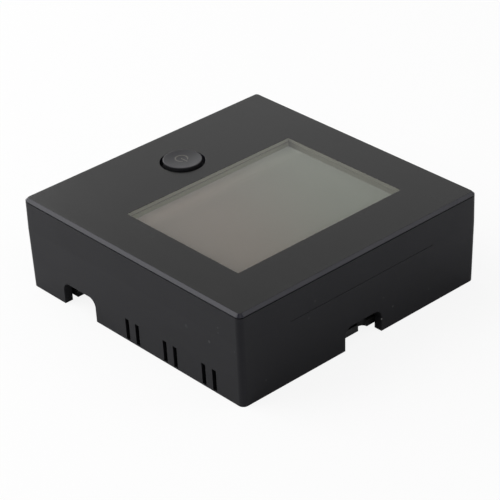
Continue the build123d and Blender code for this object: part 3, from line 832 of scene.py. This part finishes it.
@dataclass
class FrontUnit:
    """The casing, the panel with its button and window, and the display behind the window."""

    button_rise: float = 0.8 * MM
    dish_radius: float = 5.4 * MM
    dish_depth: float = 0.35 * MM
    symbol_radius: float = 1.72 * MM
    symbol_line: float = 0.38 * MM
    symbol_gap: float = math.radians(68)
    symbol_bar: float = 2.3 * MM
    symbol_lift: float = 0.02 * MM
    symbol_sink: float = 0.10 * MM
    symbol_shift: Point = (-0.31 * MM, -0.71 * MM)
    ring_steps: int = 48
    bar_steps: int = 4
    tip_angles: tuple[float, ...] = (-80.0, -50.0, -20.0)
    dome_travel: float = 0.255 * MM
    black: Colour = (0.0070, 0.0070, 0.0078)
    pale: Colour = (0.300, 0.300, 0.232)
    # Pale spots on the casing: scuffs, and at (-6.7, 42.7, 3.7) a full-strength painted glint beside the
    # notch.
    scuffs_and_glint: tuple[Mark, ...] = (
        Mark((42.9, 31.2, 14.9), 0.55, 0.10), Mark((43.0, 34.9, 20.7), 0.30, 0.10),
        Mark((43.0, 34.9, 19.2), 0.25, 0.12), Mark((43.0, 40.7, 16.2), 0.25, 0.10),
        Mark((42.9, 22.6, 15.7), 0.70, 0.05), Mark((-6.7, 42.7, 3.7), 0.34, 1.0),
        Mark((-10.9, 42.8, 5.8), 0.40, 0.12), Mark((-7.3, 42.8, 10.1), 0.35, 0.06),
        Mark((-24.6, 42.7, 5.0), 0.40, 0.08), Mark((17.4, 43.0, 20.4), 0.45, 0.05),
        Mark((19.7, 43.0, 16.3), 0.45, 0.05), Mark((34.7, 42.7, 4.8), 0.40, 0.06))

    def dress(self) -> None:
        """Gives the outer shells and the display their finishes."""
        dress(SkirtPlastic("casing plastic", self.black, roughness=0.40, shine=0.196, dust=0.05,
                           gleam=(0.883, 0.883, 1.0), scuffs_and_glint=self.scuffs_and_glint), "casing")
        dress(PanelPlastic("panel plastic", (0.0072, 0.0072, 0.0071), roughness=0.24, shine=0.28,
                           painted_sheen_colour=(0.0072, 0.0070, 0.0148)), "front_panel")
        dress(Moulded("button plastic", self.black, roughness=0.45, shine=0.51,
                      gleam=(0.93, 0.93, 1.0)), "power_button")
        dress(ClearWindow("window", (0.97, 0.98, 0.97), edge=self.pale, x_side_painted_shade=0.58,
                          roughness=0.0, ior=1.49), "window_lens")
        dress(FramePlastic("frame plastic", shade(self.pale, 1.10), roughness=0.6, shine=0.1,
                           edge=0.02, edge_wear=0.0, x_side_painted_shade=0.51), "display_frame")
        dress(DisplayFilm("display film", warm=(0.125, 0.103, 0.080), green=(0.109, 0.121, 0.089),
                          warm_at=(15.0, -2.0), green_at=(-26.0, 12.0)), "front_polariser")
        dress(ClearSheet("cell glass", (0.30, 0.32, 0.28), dots=(0.26, 0.28, 0.24), dot_pitch=0.24,
                         roughness=0.12), "lcd_cell")
        dress(ClearSheet("white film", (0.82, 0.82, 0.80), dots=(0.78, 0.78, 0.76), dot_pitch=0.4,
                         roughness=0.45), "diffuser_sheet", "reflector_sheet")
        dress(ClearSheet("light guide acrylic", (0.80, 0.84, 0.82), dots=(0.92, 0.93, 0.92),
                         dot_pitch=1.1, roughness=0.1), "light_guide")

    def soften_dome(self) -> None:
        """Gives the contact dome a mesh of its own."""
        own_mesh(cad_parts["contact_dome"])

    def dish_height(self, away: float) -> float:
        """Works out the height of the button's dished top.

        Args:
            away: The distance from the button's axis.

        Returns:
            The height there.
        """
        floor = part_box("front_panel")[1].z + self.button_rise - self.dish_depth
        ball = (self.dish_radius ** 2 + self.dish_depth ** 2) / (2 * self.dish_depth)
        return floor + ball - math.sqrt(ball ** 2 - away ** 2)

    def stroke(self, build: bmesh.types.BMesh, path: Sequence[Vector]) -> None:
        """Adds a thin line with round ends that follows the button's dish.

        Args:
            build: The mesh to add to.
            path: Points of the line, from the button's axis.
        """
        centre = middle("power_button")
        half = self.symbol_line / 2
        turns = [math.radians(a) for a in self.tip_angles]
        first, last = (path[0] - path[1]).normalized(), (path[-1] - path[-2]).normalized()
        stations = [(path[0] + first * half * -math.sin(a), -first, half * math.cos(a))
                    for a in turns]
        stations += [(point, self.heading(path, i), half) for i, point in enumerate(path)]
        stations += [(path[-1] + last * half * -math.sin(a), last, half * math.cos(a))
                     for a in reversed(turns)]
        rows = []
        for point, ahead, reach in stations:
            side = Vector((-ahead.y, ahead.x)) * reach
            spots = (point + side, point - side)
            tops = [(p, self.dish_height(p.length) + self.symbol_lift) for p in spots]
            feet = [(p, self.dish_height(p.length) - self.symbol_sink) for p in reversed(spots)]
            rows.append([build.verts.new((centre.x + p.x, centre.y + p.y, z)) for p, z in tops + feet])
        for row, after in zip(rows, rows[1:]):
            for i in range(4):
                build.faces.new((row[i], row[(i + 1) % 4], after[(i + 1) % 4], after[i]))
        build.faces.new(rows[0])
        build.faces.new(rows[-1])

    @staticmethod
    def heading(path: Sequence[Vector], i: int) -> Vector:
        """Returns the direction of a path at one of its points."""
        return (path[min(i + 1, len(path) - 1)] - path[max(i - 1, 0)]).normalized()

    def add_symbol(self) -> None:
        """Adds the power symbol on the button: an open ring and a bar through its gap."""
        build = bmesh.new()
        start = math.pi / 2 + self.symbol_gap / 2
        sweep = 2 * math.pi - self.symbol_gap
        centre = Vector(self.symbol_shift)
        angles = [start + sweep * i / self.ring_steps for i in range(self.ring_steps + 1)]
        self.stroke(build, [centre + Vector((math.cos(a), math.sin(a))) * self.symbol_radius
                            for a in angles])
        shares = [i / self.bar_steps for i in range(self.bar_steps + 1)]
        self.stroke(build, [centre + Vector((0.0, self.symbol_bar * share)) for share in shares])
        paint = Moulded("symbol paint", (0.080, 0.076, 0.066), roughness=0.5, mottle=0.2)
        add_piece("power_symbol", build, paint, Body.BUTTON)


@dataclass
class Electronics:
    """The two circuit boards and everything on them. Leads are in millimetres."""

    chip_lead: float = 0.2
    disc_lead: float = 1.2
    bead_lead: float = 2.3
    print_line: float = 0.16 * MM
    print_height: float = 0.02 * MM
    print_margin: float = 0.35 * MM
    chip_size: Triple = (1.6 * MM, 0.8 * MM, 0.5 * MM)
    chip_edge: float = 0.04 * MM
    chip_columns: tuple[float, ...] = (12.9 * MM, 15.7 * MM, 18.5 * MM)
    chip_rows: tuple[float, ...] = (-1.8 * MM, 0.6 * MM)
    cap_share: float = 0.22
    cap_wider: float = 1.03
    cap_taller: float = 1.04
    cap_edge: float = 0.06 * MM
    sleeve: Colour = (0.016, 0.020, 0.045)
    sleeve_stripe: Colour = (0.36, 0.37, 0.40)

    def dress(self) -> None:
        """Gives the boards, their parts and their fasteners their finishes."""
        for board in ("power_board", "display_board"):
            low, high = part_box(board)
            dress(CircuitBoard(f"{board} laminate", mask=(0.012, 0.085, 0.035), copper=(0.03, 0.16, 0.06),
                               edge=(0.42, 0.40, 0.24), low=low.z / MM, high=high.z / MM), board)
        dress(PlatedMetal("zinc plated steel", (0.62, 0.62, 0.63), tarnish=(0.45, 0.44, 0.42)),
              "panel_screws", "display_board_screws", "power_board_screws", "terminal_screws")
        dress(PlatedMetal("nickel plate", (0.68, 0.66, 0.62), tarnish=(0.50, 0.47, 0.42), roughness=0.24),
              "terminal_clamps", "switch_cover", "contact_dome", "crystal")
        dress(PlatedMetal("gilt brass", (0.80, 0.62, 0.28), tarnish=(0.60, 0.44, 0.20), roughness=0.22),
              "header_pins")
        dress(Moulded("terminal plastic", (0.04, 0.26, 0.09), roughness=0.40, mottle=0.15),
              "terminal_block")
        dress(Moulded("connector plastic", (0.02, 0.02, 0.021), roughness=0.5),
              "pin_header", "header_socket", "transformer_bobbin", "switch_body", "buzzer")
        dress(Moulded("plunger plastic", (0.10, 0.10, 0.10), roughness=0.5), "switch_plunger")
        dress(Moulded("relay cover", (0.03, 0.09, 0.24), roughness=0.22, grain_depth=0.002), "relay")
        dress(Moulded("fuse cover", (0.075, 0.030, 0.018), roughness=0.20, grain_depth=0.002), "fuse")
        dress(Moulded("lamp moulding", (0.80, 0.77, 0.62), roughness=0.35), "backlight_leds")
        dress(Moulded("ferrite", (0.05, 0.047, 0.05), roughness=0.62, grain=0.3, grain_depth=0.02,
                      mottle=0.3), "transformer_core")
        dress(Striped("winding tape", (0.62, 0.42, 0.07), second=(0.52, 0.33, 0.05), pitch=1.3,
                      share=0.85, along=Along.Z, roughness=0.3), "transformer_winding")
        dress(Striped("layered rubber", (0.50, 0.30, 0.28), second=(0.06, 0.06, 0.06), pitch=0.36,
                      share=0.5, along=Along.X, roughness=0.6), "contact_strips")
        self.dress_leaded_parts()

    def dress_leaded_parts(self) -> None:
        """Gives the parts that stand on leads, and the capacitors, their finishes."""
        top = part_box("power_board")[1].z / MM
        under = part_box("display_board")[0].z / MM
        dress(Leaded("chip resin", (0.022, 0.022, 0.023), top + self.chip_lead),
              "rectifier", "supply_chip")
        dress(Leaded("controller resin", (0.020, 0.020, 0.021), under - self.chip_lead,
                     leads_above=True), "microcontroller")
        dress(Leaded("dipped disc", (0.02, 0.11, 0.33), top + self.disc_lead, roughness=0.25), "varistor")
        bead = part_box("thermistor")[0].z / MM + self.bead_lead
        dress(Leaded("dipped bead", (0.024, 0.022, 0.020), bead, leads_above=True, roughness=0.25),
              "thermistor")
        centre, end = middle("input_capacitors") / MM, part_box("input_capacitors")[1]
        dress(CapacitorSleeve("lying can sleeve", self.sleeve, self.sleeve_stripe, Along.X,
                              centre=(centre.y, centre.z), top=end.x / MM), "input_capacitors")
        centre, end = middle("output_capacitor") / MM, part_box("output_capacitor")[1]
        dress(CapacitorSleeve("standing can sleeve", self.sleeve, self.sleeve_stripe, Along.Z,
                              centre=(centre.x, centre.y), top=end.z / MM), "output_capacitor")

    def add_block(self, build: bmesh.types.BMesh, centre: Vector, size: Sequence[float],
                  edge: float) -> None:
        """Adds one box with softened edges.

        Args:
            build: The mesh to add to.
            centre: The box's centre.
            size: Its three sizes.
            edge: The width of its softened edges.
        """
        scale = Matrix.Diagonal((*size, 1.0))
        made = bmesh.ops.create_cube(build, size=1.0, matrix=Matrix.Translation(centre) @ scale)
        edges = {e for v in made["verts"] for e in v.link_edges}
        bmesh.ops.bevel(build, geom=list(edges), offset=edge, segments=2, affect="EDGES", profile=0.6)

    def chip_spots(self) -> list[Vector]:
        """Places the small chip parts on the power board, beside the supply chip, in two blocks.

        Returns:
            The middle of each part's foot.
        """
        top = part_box("power_board")[1].z
        row = middle("supply_chip").y
        return [Vector((side * x, row + y, top))
                for side in (-1, 1) for x in self.chip_columns for y in self.chip_rows]

    def add_chips(self) -> None:
        """Adds the small chip parts: dark bodies between tinned end caps."""
        long, wide, tall = self.chip_size
        body_size = (long * (1 - 2 * self.cap_share), wide, tall)
        cap_size = (long * self.cap_share, wide * self.cap_wider, tall * self.cap_taller)
        bodies, caps = bmesh.new(), bmesh.new()
        for spot in self.chip_spots():
            self.add_block(bodies, spot + Vector((0, 0, tall / 2)), body_size, self.chip_edge)
            for side in (-1, 1):
                shift = Vector((side * long / 2 * (1 - self.cap_share), 0, tall / 2))
                self.add_block(caps, spot + shift, cap_size, self.cap_edge)
        glaze = Moulded("chip glaze", (0.018, 0.018, 0.020), roughness=0.25)
        add_piece("chip_resistors", bodies, glaze, Body.BASE)
        solder = PlatedMetal("solder tin", TIN, tarnish=(0.50, 0.50, 0.48), roughness=0.32)
        add_piece("chip_end_caps", caps, solder, Body.BASE)

    def add_frame(self, build: bmesh.types.BMesh, low: Vector, high: Vector, floor: float) -> None:
        """Adds one flat rectangular outline.

        Args:
            build: The mesh to add to.
            low: The outline's lowest corner in plan.
            high: Its highest corner in plan.
            floor: The height that it lies on.
        """
        rings = []
        roof, line = floor + self.print_height, self.print_line
        for grow, z in ((0, floor), (0, roof), (line, roof), (line, floor)):
            corners = ((low.x - grow, low.y - grow), (high.x + grow, low.y - grow),
                       (high.x + grow, high.y + grow), (low.x - grow, high.y + grow))
            rings.append([build.verts.new((x, y, z)) for x, y in corners])
        for ring, after in zip(rings, rings[1:] + rings[:1]):
            for i in range(4):
                build.faces.new((ring[i], ring[(i + 1) % 4], after[(i + 1) % 4], after[i]))

    def add_print(self, names: Iterable[str]) -> None:
        """Adds the printed outlines round parts on the power board.

        Args:
            names: The nodes that get an outline.
        """
        build = bmesh.new()
        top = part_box("power_board")[1].z
        margin = Vector((self.print_margin, self.print_margin, 0))
        for name in names:
            low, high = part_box(name)
            self.add_frame(build, low - margin, high + margin, top)
        paint = Moulded("board print", (0.72, 0.72, 0.70), roughness=0.6, mottle=0.15)
        add_piece("board_print", build, paint, Body.BASE)

    def add_details(self) -> None:
        """Adds the chips and the board print."""
        self.add_chips()
        self.add_print(("relay", "transformer_core", "varistor", "fuse", "rectifier", "supply_chip",
                        "output_capacitor", "header_socket", "input_capacitors"))


@dataclass(frozen=True)
class Softbox:
    """A square soft lamp that faces the part. Its angles are counted as the camera's are."""

    name: str
    azimuth: float
    elevation: float
    side: float
    watts: float


@dataclass
class Studio:
    """The floor, the lights, the surroundings and the camera. Angles are in degrees."""

    azimuth: float = 138.514
    elevation: float = 30.758
    roll: float = -2.517
    distance: float = 568.471 * MM
    target: Triple = (4.290 * MM, 4.388 * MM, 13.757 * MM)
    lens: float = 152.72
    sensor: float = 36.0
    near_clip: float = 10 * MM
    floor_size: float = 6.0
    lamp_distance: float = 0.9
    lamps: tuple[Softbox, ...] = (
        Softbox("left_softbox", azimuth=44.0, elevation=42.0, side=0.80, watts=6.4),
        Softbox("top_softbox", azimuth=165.0, elevation=60.0, side=0.6, watts=0.9),
        Softbox("back_softbox", azimuth=347.0, elevation=14.0, side=0.45, watts=2.6),
        Softbox("right_softbox", azimuth=227.0, elevation=38.0, side=0.32, watts=0.58))
    ambient: float = 0.335
    ceiling_fall: float = 0.58
    ceiling_from: Ends = (0.42, 0.58)

    def add_floor(self) -> None:
        """Adds the floor that the part lies on."""
        build = bmesh.new()
        bmesh.ops.create_grid(build, x_segments=1, y_segments=1, size=self.floor_size / 2)
        mesh = bpy.data.meshes.new("studio_floor")
        build.to_mesh(mesh)
        build.free()
        white = StudioFloor("studio floor", (0.90, 0.90, 0.90), glow=0.88, under=35.0,
                            mirrored=(41.5, 166.0))
        mesh.materials.append(white.material())
        floor = bpy.data.objects.new("studio_floor", mesh)
        bpy.context.scene.collection.objects.link(floor)

    def add_surroundings(self) -> None:
        """Lights the scene softly, and shows white walls under a dimmer ceiling in reflections."""
        world = bpy.data.worlds.new("studio")
        world.use_nodes = True
        graph = Graph(world.node_tree)
        camera, glossy, through = graph.rays("Camera", "Glossy", "Transmission")
        height = graph.axes(graph.wire("ShaderNodeTexCoord", output="Generated"))[2]
        glow = 1.0 - self.ceiling_fall * graph.step(height, *self.ceiling_from)
        soft, white = (graph.wire("ShaderNodeBackground", None, {"Color": WHITE, "Strength": strength})
                       for strength in (self.ambient, glow))
        graph.end(graph.blend(camera | glossy | through, soft, white), "ShaderNodeOutputWorld")
        bpy.context.scene.world = world

    def add_lamp(self, softbox: Softbox) -> None:
        """Adds one lamp.

        Args:
            softbox: The lamp.
        """
        lamp = bpy.data.lights.new(softbox.name, "AREA")
        lamp.shape = "SQUARE"
        lamp.size = softbox.side
        lamp.energy = softbox.watts
        holder = bpy.data.objects.new(softbox.name, lamp)
        back = self.direction(softbox.azimuth, softbox.elevation)
        holder.location = Vector(self.target) + back * self.lamp_distance
        holder.visible_transmission = False
        holder.rotation_mode = "QUATERNION"
        holder.rotation_quaternion = (-back).to_track_quat("-Z", "Y")
        bpy.context.scene.collection.objects.link(holder)

    @staticmethod
    def direction(azimuth: float, elevation: float) -> Vector:
        """Returns the direction from the part to a viewer at these angles."""
        a, e = math.radians(azimuth), math.radians(elevation)
        return Vector((math.sin(a) * math.cos(e), -math.cos(a) * math.cos(e), math.sin(e)))

    def add_camera(self) -> None:
        """Adds the camera at the portrait's angle."""
        back = self.direction(self.azimuth, self.elevation)
        right = Vector((0, 0, 1)).cross(back).normalized()
        up = back.cross(right)
        turn = math.radians(self.roll)
        across = math.cos(turn) * right + math.sin(turn) * up
        upward = -math.sin(turn) * right + math.cos(turn) * up
        data = bpy.data.cameras.new("portrait")
        data.lens = self.lens
        data.sensor_width = self.sensor
        data.clip_start = self.near_clip
        camera = bpy.data.objects.new("portrait", data)
        bpy.context.scene.collection.objects.link(camera)
        turned = Matrix((across, upward, back)).transposed().to_4x4()
        camera.matrix_world = Matrix.Translation(Vector(self.target) + back * self.distance) @ turned
        bpy.context.scene.camera = camera

    def build(self) -> None:
        """Builds the whole studio."""
        bpy.context.scene.view_settings.view_transform = "Standard"
        self.add_floor()
        self.add_surroundings()
        for softbox in self.lamps:
            self.add_lamp(softbox)
        self.add_camera()


def main() -> None:
    """Dresses the part, adds the pieces of the scene and sets up the studio."""
    logging.basicConfig(level=logging.INFO, format="%(name)s: %(message)s")
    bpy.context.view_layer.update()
    front = FrontUnit()
    front.dress()
    front.add_symbol()
    front.soften_dome()
    dress(Moulded("plate plastic", (0.020, 0.020, 0.021), roughness=0.5), "wall_plate")
    electronics = Electronics()
    electronics.dress()
    electronics.add_details()
    Studio().build()


if __name__ == "__main__":
    main()
